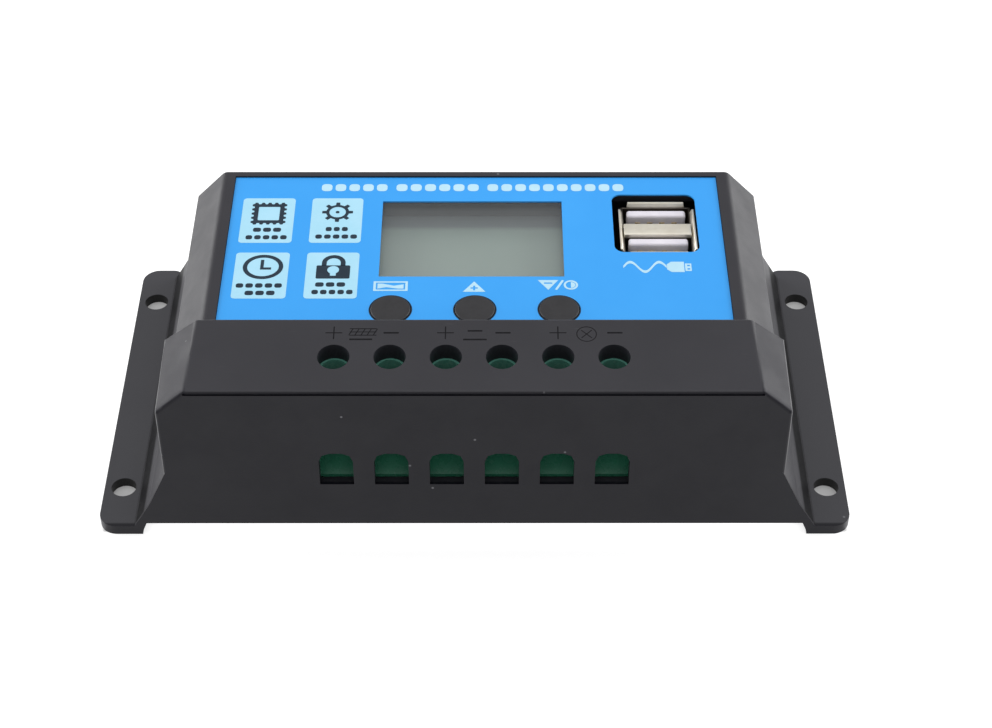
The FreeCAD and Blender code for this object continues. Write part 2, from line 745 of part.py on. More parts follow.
def make_terminal_parts():
    contacts = []
    for way in range(6):
        x = way_x(way)
        head = rod(x, "screw_y", "head_r", "head_low + 0.1", "head_high")
        shank = rod(x, "screw_y", "shank_r", "bar_top + 0.02", "head_low + 0.2")
        across = block(x, "screw_y", "0.8", "5.2", "head_high - 0.8", "head_high + 0.1")
        along = block(x, "screw_y", "2.6", "0.8", "head_high - 0.8", "head_high + 0.1")
        screw = cut(fuse([head, shank]), [across, along], "terminal_screw")
        keep(f"terminal_screw_{way + 1}", screw)
        cage = block(x, "screw_y", "clamp_wide", "clamp_deep", "clamp_low", "clamp_high")
        window = block(x, "screw_y", "clamp_wide - 2 * clamp_cheek", "clamp_deep + 1",
                       "clamp_low + clamp_floor", "clamp_high - clamp_roof")
        thread = rod(x, "screw_y", "shank_r + running_gap", "clamp_high - clamp_roof - 0.1",
                     "clamp_high + 0.1")
        keep(f"wire_clamp_{way + 1}", cut(cage, [window, thread], "wire_clamp"))
        bar = block(x, "(bar_rear + screw_y) / 2 - 0.9", "bar_wide", "bar_rear - screw_y + 1.8",
                    "bar_top - bar_thick", "bar_top")
        leg = block(x, "bar_rear - bar_thick / 2", "bar_wide", "bar_thick", "board_top", "bar_top - 0.1")
        tail = block(x, "bar_rear - bar_thick / 2", "tail_wide", "bar_thick", "tail_low",
                     "board_top + 0.1")
        contacts.append(fuse([bar, leg, tail], "terminal_contact"))
    keep("terminal_contacts", group(contacts, "terminal_contacts"))


# ---------------------------------------------------------------- board and base

def make_board():
    body = new_body("main_board")
    plan = new_sketch(body, "board_plan", "XY_Plane", "board_top - board_thick")
    polygon(plan, [("-board_half", "board_front"), ("board_half", "board_front"),
                   ("board_half", "board_rear"), ("-board_half", "board_rear")])
    for sign in ("-1", "1"):
        for y in ("-post_y", "post_y"):
            circle(plan, f"{sign} * post_x", y, "post_hole_r")
    pad(body, plan, "board_thick", "board_pad")
    notches = new_sketch(body, "boss_notches", "XY_Plane", "board_top")
    for sign in ("-1", "1"):
        for y in ("boss_front", "boss_rear"):
            circle(notches, f"{sign} * boss_x", y, "boss_notch_r")
    pocket(body, notches, "board_thick", "boss_notches_cut")
    tails = new_sketch(body, "tail_hole", "XY_Plane", "board_top")
    circle(tails, way_x(0), "bar_rear - bar_thick / 2", "1.15")
    hole = pocket(body, tails, "board_thick", "tail_hole_cut")
    row_of(body, hole, 6, "(ways - 1) * pitch", "tail_holes")


def make_base():
    """Base plate with two rows of vents, held by four screws."""
    body = new_body("base_plate")
    plan = new_sketch(body, "base_plan", "XY_Plane", "base_low")
    polygon(plan, [("-base_half", "base_front"), ("base_half", "base_front"),
                   ("base_half", "base_rear"), ("-base_half", "base_rear")])
    for sign in ("-1", "1"):
        for y in ("boss_front", "boss_rear"):
            circle(plan, f"{sign} * boss_x", y, "base_hole_r")
    pad(body, plan, "base_thick", "base_pad")
    vents = new_sketch(body, "vent_slots", "XY_Plane", "base_low + base_thick")
    for y in VENT_ROWS:
        rectangle(vents, f"-{(VENTS_A_ROW - 1) / 2} * vent_pitch", y, "vent_wide", "vent_long")
    hole = pocket(body, vents, "base_thick", "vent_cut")
    row_of(body, hole, VENTS_A_ROW, f"{VENTS_A_ROW - 1} * vent_pitch", "vent_rows")


def screw_group(name, places, head_r, head_low, head_top, shank_r, shank_top):
    """Pan-head screws driven upwards, with a cross recess in each head."""
    screws = []
    for x, y in places:
        head = rod(x, y, head_r, head_low, head_top)
        shank = rod(x, y, shank_r, f"{head_top} - 0.1", shank_top)
        slots = [block(x, y, "cross_long", "cross_wide", f"{head_low} - 0.1", f"{head_low} + 0.6"),
                 block(x, y, "cross_wide", "cross_long", f"{head_low} - 0.1", f"{head_low} + 0.6")]
        screws.append(cut(fuse([head, shank]), slots, name))
    keep(name, group(screws, name))


def make_screws():
    corners = [(f"{i} * boss_x", y) for i in (-1, 1) for y in ("boss_front", "boss_rear")]
    screw_group("case_screws", corners, "case_head_r", "base_low - case_head_high", "base_low",
                "case_shank_r", "base_low + case_shank_long")
    posts = [(f"{i} * post_x", f"{j} * post_y") for i in (-1, 1) for j in (-1, 1)]
    under = "board_top - board_thick"
    screw_group("board_screws", posts, "board_head_r", f"{under} - board_head_high", under,
                "board_shank_r", "board_top + board_shank_long")


# ---------------------------------------------------------------- parts on the board

def make_electronics():
    make_mosfets()
    make_cans()
    make_chips()
    make_small_parts()


def make_mosfets():
    """Power transistors in a row behind the terminals, each with its tab and two legs."""
    for number, x in enumerate(MOSFET_X, start=1):
        case = block(x, MOSFET_Y, "mosfet_wide", "mosfet_deep", "board_top", "board_top + mosfet_high")
        tab = block(x, MOSFET_Y + 3.0, "mosfet_wide - 1.2", "1.2", "board_top", "board_top + tab_high")
        legs = [block(f"{x} + {i} * 2.3", MOSFET_Y - 3.4, "0.8", "1.4", "board_top",
                      "board_top + tab_high") for i in (-1, 1)]
        keep(f"power_mosfet_{number}", fuse([case, tab] + legs, "power_mosfet"))


def make_cans():
    """Capacitor cans on square feet, with a crimped waist."""
    for number, (x, y, radius, tall) in enumerate(CANS, start=1):
        can = rod(x, y, radius, "board_top + 0.8", f"board_top + {tall}")
        foot = block(x, y, 2 * radius, 2 * radius, "board_top", "board_top + 1.0")
        waist = doc.addObject("Part::Torus", "waist")
        waist.Radius1 = radius + 0.25
        waist.Radius2 = 0.55
        place(waist, x, y, "board_top + 2.4")
        keep(f"capacitor_{number}", cut(fuse([foot, can]), [waist], "capacitor"))


def make_chips():
    """Flat packages with a row of leads along the front and the rear."""
    for name, x, y, wide, deep, tall, count, lead in CHIPS:
        package = block(x, y, wide, deep, "board_top + 0.1", f"board_top + {tall}")
        step = wide / count
        middle = (count - 1) / 2
        leads = [block(f"{x} + {k - middle} * {step:.4f}", f"{y} + {side} * {deep / 2 + 0.4}",
                       lead, "1.0", "board_top", "board_top + tab_high")
                 for k in range(count) for side in (-1, 1)]
        keep(name, fuse([package] + leads, name))


def make_small_parts():
    """Inductor, crystal, thermistor and the chip resistors."""
    x, y = INDUCTOR_PLACE
    core = rod(x, y, "inductor_r", "board_top + 0.8", "board_top + inductor_high")
    base = block(x, y, "inductor_foot", "inductor_foot", "board_top", "board_top + 1.0")
    keep("inductor", fuse([core, base], "inductor"))
    x, y = CRYSTAL_PLACE
    low, high = "board_top + 0.4", "board_top + crystal_high"
    can = block(x, y, "crystal_long", "crystal_wide", low, high)
    ends = [rod(f"{x} + {i} * crystal_long / 2", y, "crystal_wide / 2", low, high) for i in (-1, 1)]
    plinth = block(x, y, "crystal_long + crystal_wide + 1.0", "crystal_wide", "board_top",
                   "board_top + 0.5")
    keep("crystal", fuse([can, plinth] + ends, "crystal"))
    x, y = BEAD_PLACE
    bead = doc.addObject("Part::Sphere", "bead")
    bind(bead, "Radius", "bead_r")
    place(bead, x, y, "board_top + bead_lift")
    wires = [rod(f"{x} + {i} * bead_r / 2", y, "0.25", "board_top", "board_top + bead_lift - 0.4")
             for i in (-1, 1)]
    keep("thermistor", fuse([bead] + wires, "thermistor"))
    chips = [block(x, y, "chip_long", "chip_wide", "board_top", "board_top + chip_high")
             for x in RESISTOR_X for y in RESISTOR_Y]
    keep("chip_resistors", group(chips, "chip_resistors"))


# ---------------------------------------------------------------- whole

make_housing()
make_label()
make_window()
make_buttons()
make_display()
make_socket()
make_terminal_block()
make_terminal_parts()
make_board()
make_base()
make_screws()
make_electronics()
doc.recompute()

for thing in doc.Objects:
    broken = [state for state in thing.State if state in ("Invalid", "Error")]
    assert not broken, f"{thing.Label}: {broken}"
for name, thing in nodes.items():
    shape = thing.Shape
    assert not shape.isNull() and shape.isValid() and shape.Volume > 0, name

os.makedirs("parts", exist_ok=True)
for name, thing in nodes.items():
    thing.Shape.exportStep(f"parts/{name}.step")
    print(name, len(thing.Shape.Solids), round(thing.Shape.Volume, 1))
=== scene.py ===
import json
import math

import bmesh
import bpy
from mathutils import Matrix, Vector


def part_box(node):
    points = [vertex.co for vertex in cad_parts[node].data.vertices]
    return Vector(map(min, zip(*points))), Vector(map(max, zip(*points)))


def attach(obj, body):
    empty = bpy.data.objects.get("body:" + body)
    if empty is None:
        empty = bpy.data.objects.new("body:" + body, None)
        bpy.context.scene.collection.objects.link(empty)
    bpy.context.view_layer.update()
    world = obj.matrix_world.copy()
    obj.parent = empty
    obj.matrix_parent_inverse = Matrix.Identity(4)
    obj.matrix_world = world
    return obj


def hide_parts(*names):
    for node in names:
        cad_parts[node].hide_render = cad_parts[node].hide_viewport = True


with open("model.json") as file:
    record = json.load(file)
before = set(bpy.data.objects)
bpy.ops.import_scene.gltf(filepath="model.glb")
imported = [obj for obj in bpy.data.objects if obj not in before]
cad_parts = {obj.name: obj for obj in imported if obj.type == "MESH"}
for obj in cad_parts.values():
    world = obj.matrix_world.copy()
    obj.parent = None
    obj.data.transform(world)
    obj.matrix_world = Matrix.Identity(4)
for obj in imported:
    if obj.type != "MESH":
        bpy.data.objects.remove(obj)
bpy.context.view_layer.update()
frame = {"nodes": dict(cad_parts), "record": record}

MM = 0.001
ROOT = "controller"
BUTTONS = (1, 2, 3)


def low_high(node):
    """Corners of a CAD node in millimetres."""
    low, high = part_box(node)
    return low / MM, high / MM


def middle_of(node):
    """Middle of a CAD node seen from above, in millimetres."""
    low, high = low_high(node)
    return (low.x + high.x) / 2, (low.y + high.y) / 2


# ---------------------------------------------------------------- shader nodes

def ramp(tree, source, low, high, low_out, high_out):
    """A soft mask or gloss value: source from low to high becomes low_out to high_out."""
    node = tree.nodes.new("ShaderNodeMapRange")
    node.interpolation_type = "SMOOTHSTEP"
    for socket, number in (("From Min", low), ("From Max", high),
                           ("To Min", low_out), ("To Max", high_out)):
        node.inputs[socket].default_value = number
    tree.links.new(source, node.inputs["Value"])
    return node.outputs["Result"]


def noise(tree, coords, scale, detail=2.0, roughness=0.5):
    """Smooth random patches; a larger scale makes them finer."""
    node = tree.nodes.new("ShaderNodeTexNoise")
    node.inputs["Scale"].default_value = scale
    node.inputs["Detail"].default_value = detail
    node.inputs["Roughness"].default_value = roughness
    tree.links.new(coords, node.inputs["Vector"])
    return node.outputs["Fac"]


def blend_colour(tree, factor, first, second):
    """Mix two colours, each a tuple or a socket."""
    node = tree.nodes.new("ShaderNodeMix")
    node.data_type = "RGBA"
    tree.links.new(factor, node.inputs["Factor"])
    for socket, colour in ((node.inputs[6], first), (node.inputs[7], second)):
        if isinstance(colour, tuple):
            socket.default_value = (*colour, 1.0)
        else:
            tree.links.new(colour, socket)
    return node.outputs[2]


def bump(tree, height, distance, below=None):
    """A normal roughened by a height socket, over another normal if there is one."""
    node = tree.nodes.new("ShaderNodeBump")
    node.inputs["Strength"].default_value = 1.0
    node.inputs["Distance"].default_value = distance
    tree.links.new(height, node.inputs["Height"])
    if below is not None:
        tree.links.new(below, node.inputs["Normal"])
    return node.outputs["Normal"]


class Surface:
    """A procedural material: two close tints mottled together, uneven gloss, fine grain."""

    def __init__(self, name, tint, shade, gloss, mottle=60, grain=2500, height=0.00002, **sockets):
        self.material = bpy.data.materials.new(name)
        self.material.use_nodes = True
        self.tree = self.material.node_tree
        self.shader = self.tree.nodes["Principled BSDF"]
        self.coords = self.tree.nodes.new("ShaderNodeTexCoord").outputs["Object"]
        for socket, number in sockets.items():
            self.shader.inputs[socket.replace("_", " ")].default_value = number
        patches = noise(self.tree, self.coords, mottle, 4.0, 0.6)
        self.colour = blend_colour(self.tree, ramp(self.tree, patches, 0.35, 0.65, 0, 1),
                                   tint, shade)
        wear = noise(self.tree, self.coords, mottle * 3.7, 3.0, 0.6)
        self.gloss = ramp(self.tree, wear, 0.3, 0.7, *gloss)
        fine = noise(self.tree, self.coords, grain)
        self.normal = bump(self.tree, fine, height)
        self.link()

    def link(self):
        """The latest colour, gloss and normal go to the shader."""
        links = self.tree.links
        links.new(self.colour, self.shader.inputs["Base Color"])
        links.new(self.gloss, self.shader.inputs["Roughness"])
        links.new(self.normal, self.shader.inputs["Normal"])
        return self

    def tinted(self, mask, colour):
        """Another colour where the mask is 1."""
        self.colour = blend_colour(self.tree, mask, self.colour, colour)
        return self.link()

    def maths(self, operation, *sources):
        """One arithmetic node over its sources."""
        node = self.tree.nodes.new("ShaderNodeMath")
        node.operation = operation
        for socket, source in zip(node.inputs, sources):
            self.tree.links.new(source, socket)
        return node.outputs[0]

    def split(self, vector):
        """The X, Y and Z of a vector socket."""
        node = self.tree.nodes.new("ShaderNodeSeparateXYZ")
        self.tree.links.new(vector, node.inputs["Vector"])
        return node.outputs

    def stretched(self, scale, turn=(0.0, 0.0, 0.0)):
        """The coordinates, turned and stretched."""
        node = self.tree.nodes.new("ShaderNodeMapping")
        node.inputs["Rotation"].default_value = turn
        node.inputs["Scale"].default_value = scale
        self.tree.links.new(self.coords, node.inputs["Vector"])
        return node.outputs["Vector"]

    def specks(self, scale, size, share, colour):
        """Sparse dust: small spots in some of the cells of a grid of random points."""
        cells = self.tree.nodes.new("ShaderNodeTexVoronoi")
        cells.inputs["Scale"].default_value = scale
        self.tree.links.new(self.coords, cells.inputs["Vector"])
        spot = ramp(self.tree, cells.outputs["Distance"], size, size * 0.4, 0, 1)
        pick = self.tree.nodes.new("ShaderNodeSeparateColor")
        self.tree.links.new(cells.outputs["Color"], pick.inputs["Color"])
        chosen = ramp(self.tree, pick.outputs["Red"], share + 0.01, share, 0, 1)
        return self.tinted(self.maths("MULTIPLY", spot, chosen), colour)

    def scratches(self, scale, colour, amount):
        """Fine scuffs, from noise stretched along one direction."""
        lines = noise(self.tree, self.stretched((1.0, 14.0, 1.0), (0.4, 0.2, 0.7)), scale)
        return self.tinted(ramp(self.tree, lines, 0.72, 0.8, 0, amount), colour)

    def brushed(self, scale, height, along=(1.0, 1.0, 40.0)):
        """Fine parallel tool marks across the given direction."""
        lines = noise(self.tree, self.stretched(along), scale, 2.0, 0.6)
        self.normal = bump(self.tree, lines, height, self.normal)
        return self.link()

    def zone(self, axis, start, stop, colour, amount=1.0):
        """Another colour that grows from nothing at start to full at stop, in millimetres."""
        low, high = min(start, stop), max(start, stop)
        ends = (0, amount) if start < stop else (amount, 0)
        place = self.split(self.coords)[axis]
        return self.tinted(ramp(self.tree, place, low * MM, high * MM, *ends), colour)

    def inside(self, soft=0.3, **spans):
        """A mask that is 1 within the spans in millimetres; x counts outwards from the middle."""
        places = self.split(self.coords)
        mask = None
        for axis, span in spans.items():
            place = places[axis.upper()]
            if axis == "x":
                place = self.maths("ABSOLUTE", place)
            for edge, rise in ((span[0], (0, 1)), (span[1], (1, 0))):
                step = ramp(self.tree, place, (edge - soft / 2) * MM, (edge + soft / 2) * MM, *rise)
                mask = step if mask is None else self.maths("MULTIPLY", mask, step)
        return mask

    def region(self, colour, soft, **spans):
        """Another colour within the spans."""
        return self.tinted(self.inside(soft, **spans), colour)

    def duller(self, level, soft=0.3, **spans):
        """Less mirror-like within the spans."""
        mix = self.tree.nodes.new("ShaderNodeMix")
        self.tree.links.new(self.inside(soft, **spans), mix.inputs["Factor"])
        shine = self.shader.inputs["Specular IOR Level"]
        if shine.is_linked:
            self.tree.links.new(shine.links[0].from_socket, mix.inputs["A"])
        else:
            mix.inputs["A"].default_value = shine.default_value
        mix.inputs["B"].default_value = level
        self.tree.links.new(mix.outputs["Result"], shine)
        return self

    def painted_rim_highlight(self, colour, amount, **spans):
        """Painted highlight on rounded edges within the spans, where the face turns outwards."""
        true = self.tree.nodes.new("ShaderNodeNewGeometry")
        outwards = self.maths("ABSOLUTE", self.split(true.outputs["Normal"])["X"])
        turned = self.maths("MULTIPLY", ramp(self.tree, outwards, 0.66, 0.80, 0, amount),
                            ramp(self.tree, outwards, 0.90, 0.97, 1, 0))
        return self.tinted(self.maths("MULTIPLY", turned, self.inside(**spans)), colour)

    def painted_edge_highlight(self, radius, colour, amount, **spans):
        """Painted highlight on sharp edges within the spans, where the rounded normal leaves the true
        one.
        """
        soft = self.tree.nodes.new("ShaderNodeBevel")
        soft.samples = 4
        soft.inputs["Radius"].default_value = radius
        true = self.tree.nodes.new("ShaderNodeNewGeometry")
        dot = self.tree.nodes.new("ShaderNodeVectorMath")
        dot.operation = "DOT_PRODUCT"
        self.tree.links.new(soft.outputs["Normal"], dot.inputs[0])
        self.tree.links.new(true.outputs["Normal"], dot.inputs[1])
        edge_highlight = ramp(self.tree, dot.outputs["Value"], 0.97, 0.85, 0, amount)
        return self.tinted(self.maths("MULTIPLY", edge_highlight, self.inside(**spans)), colour)


# ---------------------------------------------------------------- finishes

# Places on the housing in millimetres, with x counting outwards from the middle
FLARE_FOOT = dict(x=(58.2, 60.2), y=(-34.6, 33), z=(1.5, 7.5))
FRONT_HOLE_WALL = dict(x=(60.9, 65.7), y=(-28, -23), z=(-1, 1.9))
REAR_HOLE_WALL = dict(x=(60.9, 65.7), y=(23, 28), z=(-1, 1.9))
RIDGE_END = dict(x=(46.5, 56), y=(-19.5, -17), z=(28, 40))
HOOD_SIDE = dict(x=(52.5, 56), y=(-36, -17), z=(14.8, 40))
HOOD_CHAMFER = dict(x=(48.3, 56), y=(-34.3, -17.7), z=(28, 40))
CHAMFER_FRONT = dict(x=(48.6, 56), y=(-34.6, -33.6), z=(28, 40))
FLARE = dict(x=(53.7, 60.2), z=(1.9, 14.5))
FRONT_FACE = dict(y=(-40, -34.45))

DUST = (0.12, 0.12, 0.13)
FOOT_PAINTED_LIGHT = (0.036, 0.036, 0.042)
FRONT_PAINTED_SHADE = (0.0026, 0.0024, 0.0060)


def housing_finish():
    """Black moulded plastic, with painted light on the foot, painted shade on the front, in the flare's
    crease and in the flange holes, and painted highlights on outer edges.
    """
    skin = Surface("moulded_black", (0.0165, 0.0160, 0.0212), (0.0200, 0.0195, 0.0252),
                   gloss=(0.40, 0.50), mottle=35, grain=3800, height=0.000012,
                   Specular_IOR_Level=0.38)
    skin.scratches(scale=160, colour=(0.07, 0.07, 0.075), amount=0.3)
    # Painted light: the foot and flange tops lighter, as if lit from above.
    skin.zone("Z", 2.5, 2.1, FOOT_PAINTED_LIGHT)
    # Painted shade: the front face darker, as it faces away from the lamps.
    skin.zone("Y", -34.0, -34.4, FRONT_PAINTED_SHADE)
    skin.specks(scale=260, size=0.08, share=0.2, colour=DUST)
    # Painted shade in the crease where the flare meets the flange.
    skin.region((0.003, 0.003, 0.004), soft=0.6, **FLARE_FOOT)
    # Painted shade on the walls of the flange holes.
    for hole_wall in (FRONT_HOLE_WALL, REAR_HOLE_WALL):
        skin.region((0.001, 0.001, 0.001), soft=0.2, **hole_wall)
    # Painted highlights along the hood's rear edge at the ridge ends.
    skin.painted_edge_highlight(0.4 * MM, colour=(0.16, 0.16, 0.165), amount=0.8, **RIDGE_END)
    # Painted highlights on the rounded side edges of the hood.
    skin.painted_rim_highlight(colour=(0.14, 0.14, 0.145), amount=0.8, **HOOD_SIDE)
    skin.duller(0.19, **HOOD_CHAMFER)
    skin.duller(0.08, soft=1.2, **CHAMFER_FRONT)
    skin.duller(0.32, **FLARE)
    skin.duller(0.06, soft=0.6, **FLARE_FOOT)
    return skin.duller(0.25, **FRONT_FACE)


def plastic_finishes():
    """Caps, terminal block with painted light on its top, socket core with painted shade down its
    receptacles, switches and display frame.
    """
    return {
        "cap_plastic": Surface("cap_black", (0.0145, 0.0140, 0.0160), (0.0180, 0.0175, 0.0200),
                               gloss=(0.48, 0.58), mottle=400, grain=5200, height=0.00001,
                               Specular_IOR_Level=0.38)
        .specks(scale=700, size=0.06, share=0.12, colour=DUST),
        "green_plastic": Surface("block_green", (0.022, 0.150, 0.090), (0.028, 0.175, 0.105),
                                 gloss=(0.22, 0.32), mottle=150, grain=2600, height=0.000008)
        # Painted light on the top of the block, seen down the screw wells.
        .zone("Z", 29.0, 30.5, (0.11, 0.33, 0.26)),
        "white_plastic": Surface("socket_white", (0.74, 0.71, 0.77), (0.68, 0.65, 0.71),
                                 gloss=(0.32, 0.44), mottle=300, grain=3000, height=0.000006)
        # Painted shade deeper into the receptacles.
        .zone("Z", 25.7, 22.6, (0.030, 0.026, 0.026), amount=0.85),
        "switch_plastic": Surface("switch_black", (0.030, 0.030, 0.032), (0.040, 0.040, 0.042),
                                  gloss=(0.38, 0.5), mottle=400, grain=3000, height=0.00001),
        "frame_plastic": Surface("frame_white", (0.72, 0.72, 0.70), (0.66, 0.66, 0.64),
                                 gloss=(0.4, 0.5), mottle=200, grain=3000, height=0.00001),
    }


def metal_finishes():
    """Screws and clamps, folded socket sheet with painted shade inside below its lips, contacts and
    capacitor cans.
    """
    return {
        "plated_steel": Surface("plated_steel", (0.62, 0.61, 0.58), (0.50, 0.49, 0.47),
                                gloss=(0.26, 0.40), mottle=420, grain=3000, height=0.000006,
                                Metallic=1.0)
        .brushed(scale=900, height=0.000006),
        "socket_steel": Surface("socket_steel", (0.80, 0.76, 0.66), (0.74, 0.69, 0.59),
                                gloss=(0.30, 0.42), mottle=260, grain=3000, height=0.000004,
                                Metallic=0.85)
        .brushed(scale=700, height=0.000004, along=(40.0, 1.0, 1.0))
        # Painted shade inside the socket, below its lips.
        .zone("Z", 27.1, 26.6, (0.030, 0.020, 0.014), amount=0.97),
        "contact_metal": Surface("plated_contact", (0.83, 0.62, 0.26), (0.76, 0.56, 0.23),
                                 gloss=(0.22, 0.34), mottle=500, grain=3000, height=0.000004,
                                 Metallic=1.0),
        "can_aluminium": Surface("can_aluminium", (0.72, 0.72, 0.74), (0.64, 0.64, 0.66),
                                 gloss=(0.25, 0.36), mottle=300, grain=3000, height=0.000005,
                                 Metallic=1.0),
    }


def board_and_display_finishes():
    """Circuit board, packages, the display with a painted shadow along its rear edge, and its pane."""
    return {
        "board_laminate": Surface("board_green", (0.012, 0.14, 0.055), (0.010, 0.11, 0.045),
                                  gloss=(0.25, 0.36), mottle=90, grain=1800, height=0.00001,
                                  Coat_Weight=0.3, Coat_Roughness=0.2),
        "black_package": Surface("package_black", (0.028, 0.028, 0.030), (0.036, 0.036, 0.038),
                                 gloss=(0.5, 0.62), mottle=500, grain=4000, height=0.00001),
        "display_glass": Surface("display_cell", (0.160, 0.210, 0.184), (0.170, 0.220, 0.193),
                                 gloss=(0.30, 0.38), mottle=45, grain=4200, height=0.000002)
        # Painted shadow of the window's rear wall on the display.
        .zone("Y", 20.1, 22.1, (0.064, 0.076, 0.086), amount=0.8),
        "clear_pane": Surface("clear_pane", (0.85, 0.90, 0.92), (0.88, 0.92, 0.94),
                              gloss=(0.05, 0.08), mottle=60, grain=900, height=0.0, Alpha=0.06),
    }


def printed_finishes():
    """The blue film and its inks, the dark one also used for painted shade round the buttons, and black
    for painted shade in the hood's sunk symbols.
    """
    return {
        "label_film": Surface("blue_film", (0.026, 0.300, 0.76), (0.030, 0.315, 0.78),
                              gloss=(0.34, 0.42), mottle=30, grain=5200, height=0.000004,
                              Specular_IOR_Level=0.4),
        "pale_ink": Surface("pale_ink", (0.33, 0.61, 0.76), (0.36, 0.63, 0.78),
                            gloss=(0.38, 0.46), mottle=150, grain=5000, height=0.000002,
                            Specular_IOR_Level=0.4),
        "white_ink": Surface("white_ink", (0.40, 0.63, 0.76), (0.43, 0.66, 0.78),
                             gloss=(0.38, 0.46), mottle=150, grain=5000, height=0.000002,
                             Specular_IOR_Level=0.4),
        "dark_ink": Surface("dark_ink", (0.006, 0.018, 0.034), (0.009, 0.024, 0.042),
                            gloss=(0.40, 0.50), mottle=300, grain=5000, height=0.000002,
                            Specular_IOR_Level=0.3),
        # Black fill of the sunk hood symbols: painted shade.
        "mark_black": Surface("mark_black", (0.003, 0.003, 0.004), (0.007, 0.007, 0.009),
                              gloss=(0.38, 0.5), mottle=900, grain=5000, height=0.000006,
                              Specular_IOR_Level=0.10),
    }


FINISHES = {"housing_plastic": housing_finish(), **plastic_finishes(), **metal_finishes(),
            **board_and_display_finishes(), **printed_finishes()}


def paint_nodes():
    """Every CAD node takes the finish of its record slot."""
    for entry in frame["record"]["subparts"]:
        thing = frame["nodes"][entry["node"]]
        thing.data.materials.clear()
        thing.data.materials.append(FINISHES[entry["material_slot"]].material)


# ---------------------------------------------------------------- building pieces

def add_piece(name, mesh, finish, body=ROOT):
    """A new piece with the given finish that rides on a body."""
    thing = bpy.data.objects.new(name, mesh)
    bpy.context.scene.collection.objects.link(thing)
    thing.data.materials.clear()
    thing.data.materials.append(FINISHES[finish].material)
    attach(thing, body)
    return thing


def mesh_of(bm, name):
    """The finished mesh of a bmesh, which is freed."""
    mesh = bpy.data.meshes.new(name)
    bm.to_mesh(mesh)
    bm.free()
    return mesh


def smooth(mesh, angle=35):
    """Smooth faces, with edges sharper than the angle kept crisp."""
    mesh.polygons.foreach_set("use_smooth", [True] * len(mesh.polygons))
    mesh.set_sharp_from_angle(angle=math.radians(angle))
    return mesh


def circle_loop(x, y, radius, count=40, start=0.0, stop=2 * math.pi):
    """Points round a circle, or along part of it."""
    whole = abs(stop - start - 2 * math.pi) < 1e-6
    steps = count if whole else count - 1
    return [(x + radius * math.cos(start + (stop - start) * i / steps),
             y + radius * math.sin(start + (stop - start) * i / steps)) for i in range(count)]


def rectangle_loop(x, y, wide, deep, corner=0.0, count=6):
    """A rectangle about its middle, with rounded corners."""
    if corner <= 0:
        return [(x - wide / 2, y - deep / 2), (x + wide / 2, y - deep / 2),
                (x + wide / 2, y + deep / 2), (x - wide / 2, y + deep / 2)]
    points = []
    for quarter, (i, j) in enumerate(((1, 1), (-1, 1), (-1, -1), (1, -1))):
        first = quarter * math.pi / 2
        points += circle_loop(x + i * (wide / 2 - corner), y + j * (deep / 2 - corner), corner,
                              count, first, first + math.pi / 2)
    return points


def bar_loop(start, stop, wide):
    """A straight stroke of the given width."""
    run = Vector(stop) - Vector(start)
    side = Vector((-run.y, run.x)).normalized() * wide / 2
    return [tuple(Vector(start) + side), tuple(Vector(start) - side),
            tuple(Vector(stop) - side), tuple(Vector(stop) + side)]


def bow_loop(x, y, radius, wide, start, stop, count=24):
    """A bent stroke along part of a circle."""
    outer = circle_loop(x, y, radius + wide / 2, count, start, stop)
    inner = circle_loop(x, y, radius - wide / 2, count, start, stop)
    return outer + inner[::-1]


def triangle_loop(x, y, wide, high):
    """Points up, or down for a negative height."""
    return [(x - wide / 2, y - high / 2), (x + wide / 2, y - high / 2), (x, y + high / 2)]


def cross_loop(x, y, size, stroke):
    """A plus sign."""
    arm, half = size / 2, stroke / 2
    return [(x - half, y - arm), (x + half, y - arm), (x + half, y - half), (x + arm, y - half),
            (x + arm, y + half), (x + half, y + half), (x + half, y + arm), (x - half, y + arm),
            (x - half, y + half), (x - arm, y + half), (x - arm, y - half), (x - half, y - half)]


def dashes(x, y, wide, count, high, gap=0.4):
    """A row of plain dashes of one total width, in place of a word."""
    each = (wide - gap * (count - 1)) / count
    left = x - wide / 2 + each / 2
    return [rectangle_loop(left + k * (each + gap), y, each, high, min(each, high) * 0.35, 4)
            for k in range(count)]


def flat_mesh(loops, base, thick):
    """Closed flat outlines, an inner one being a hole, raised from base by thick."""
    curve = bpy.data.curves.new("outline", "CURVE")
    curve.dimensions = "2D"
    curve.fill_mode = "BOTH"
    curve.extrude = thick / 2 * MM
    for loop in loops:
        spline = curve.splines.new("POLY")
        spline.points.add(len(loop) - 1)
        for point, (x, y) in zip(spline.points, loop):
            point.co = (x * MM, y * MM, 0, 1)
        spline.use_cyclic_u = True
    holder = bpy.data.objects.new("outline", curve)
    bpy.context.scene.collection.objects.link(holder)
    graph = bpy.context.evaluated_depsgraph_get()
    mesh = bpy.data.meshes.new_from_object(holder.evaluated_get(graph))
    mesh.transform(Matrix.Translation((0, 0, (base + thick / 2) * MM)))
    bpy.data.objects.remove(holder)
    bpy.data.curves.remove(curve)
    return mesh


def joined(meshes, name):
    """Several meshes as one."""
    bm = bmesh.new()
    for mesh in meshes:
        bm.from_mesh(mesh)
    bmesh.ops.remove_doubles(bm, verts=bm.verts, dist=1e-7)
    return mesh_of(bm, name)


